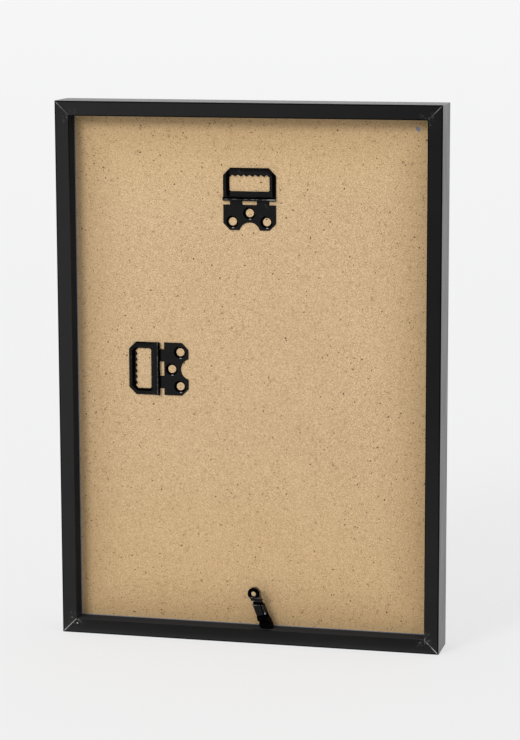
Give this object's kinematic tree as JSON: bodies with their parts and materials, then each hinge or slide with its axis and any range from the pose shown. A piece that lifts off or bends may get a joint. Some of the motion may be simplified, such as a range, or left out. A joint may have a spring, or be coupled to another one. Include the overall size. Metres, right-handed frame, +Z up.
{
  "type": "picture frame with stand leg",
  "caption": "Upright black picture frame that stands or hangs: glazed front, recessed hardboard back, hinged sawtooth hangers and a fold-out stand leg.",
  "frame": {"origin": "middle of the bottom rail's lower face, on the surface that the frame stands on", "axes": "+Z up the frame's height, +Y out of its back, -Y out of the picture side, +X to the right for someone who looks at the picture"},
  "size_m": [0.229, 0.025, 0.319],
  "materials": {
    "frame_wood": "matt black lacquer on wood, rubbed at the mitres and inner corners",
    "nail_steel": "bare V nails, sunk inside the mitres",
    "glazing": "clear acrylic sheet",
    "insert_paper": "plain uncoated paper that fills the window",
    "back_hardboard": "bare tan hardboard, fine felted fibres with dark flecks",
    "hanger_metal": "black enamelled pressed steel, worn bright on the rolled barrel",
    "pin_steel": "drawn steel wire, blackened",
    "stand_plastic": "satin black moulding"
  },
  "bodies": {
    "root": {"rail_bottom": "frame_wood", "rail_top": "frame_wood", "rail_left": "frame_wood", "rail_right": "frame_wood", "nail_bottom_left": "nail_steel", "nail_bottom_right": "nail_steel", "nail_top_left": "nail_steel", "nail_top_right": "nail_steel", "glazing": "glazing", "insert_sheet": "insert_paper", "back_board": "back_hardboard", "top_hanger_plate": "hanger_metal", "side_hanger_plate": "hanger_metal", "top_hanger_pin": "pin_steel", "side_hanger_pin": "pin_steel", "stand_pin": "pin_steel", "stand_base": "stand_plastic"},
    "top_loop": {"top_hanger_loop": "hanger_metal"},
    "side_loop": {"side_hanger_loop": "hanger_metal"},
    "leg": {"stand_leg": "stand_plastic"}
  },
  "joints": [
    {"name": "top_loop_hinge", "type": "hinge", "parent": "root", "child": "top_loop", "pos_m": [0.0005, 0.0019, 0.2626], "axis": [-1, 0, 0], "range_deg": [0, 180]},
    {"name": "side_loop_hinge", "type": "hinge", "parent": "root", "child": "side_loop", "pos_m": [0.0562, 0.0019, 0.161], "axis": [0, 0, 1], "range_deg": [0, 180]},
    {"name": "leg_hinge", "type": "hinge", "parent": "root", "child": "leg", "pos_m": [-0.00899, 0.0084, 0.0142], "axis": [-1, 0, 0], "range_deg": [0, 128]}
  ]
}
